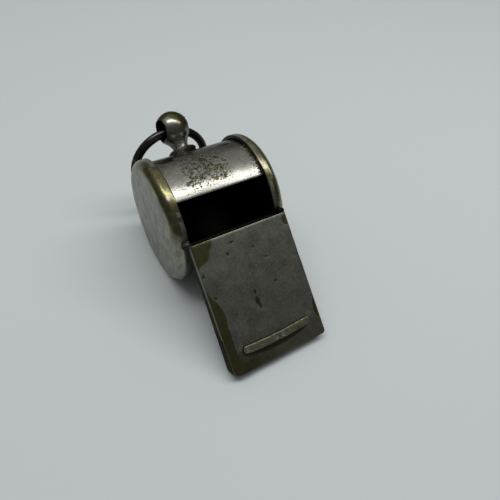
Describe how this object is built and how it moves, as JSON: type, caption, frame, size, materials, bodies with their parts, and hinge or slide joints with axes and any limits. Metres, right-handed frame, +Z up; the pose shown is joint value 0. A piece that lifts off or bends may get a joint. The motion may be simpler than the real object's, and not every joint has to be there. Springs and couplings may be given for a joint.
{
  "type": "pea whistle",
  "caption": "Round drum pea whistle with a flat duct mouthpiece, a loose cork pea inside and a wire lanyard ring that swings in a ball stud.",
  "frame": {"origin": "on the table, at the middle of the whistle's length and width, with the whistle lying at rest", "axes": "+X from the drum to the mouthpiece's tip, +Y to the player's right along the drum's axis, +Z up"},
  "size_m": [0.0458, 0.0212, 0.022],
  "materials": {
    "nickel_plate": "tarnished nickel plate on brass",
    "worn_nickel": "dark worn nickel plate on brass",
    "solder": "dull solder",
    "dark_steel": "blackened wire",
    "cork": "old blackened cork"
  },
  "bodies": {
    "whistle": {"drum_skin": "nickel_plate", "left_cap": "nickel_plate", "right_cap": "nickel_plate", "mouthpiece_top": "worn_nickel", "mouthpiece_tray": "nickel_plate", "bite_ridge": "worn_nickel", "left_corner_solder": "solder", "right_corner_solder": "solder", "duct_seam_solder": "solder", "ring_stud": "worn_nickel", "stud_solder": "solder"},
    "ring": {"lanyard_ring": "dark_steel"},
    "pea": {"cork_pea": "cork"}
  },
  "joints": [
    {"name": "ring_swing", "type": "hinge", "parent": "whistle", "child": "ring", "pos_m": [-0.01957, 0, 0.01859], "axis": [0, 1, 0], "range_deg": [-10, 247]},
    {"name": "pea_roll", "type": "hinge", "parent": "whistle", "child": "pea", "pos_m": [-0.0058, 0, 0.011], "axis": [0, 1, 0], "continuous": true}
  ]
}
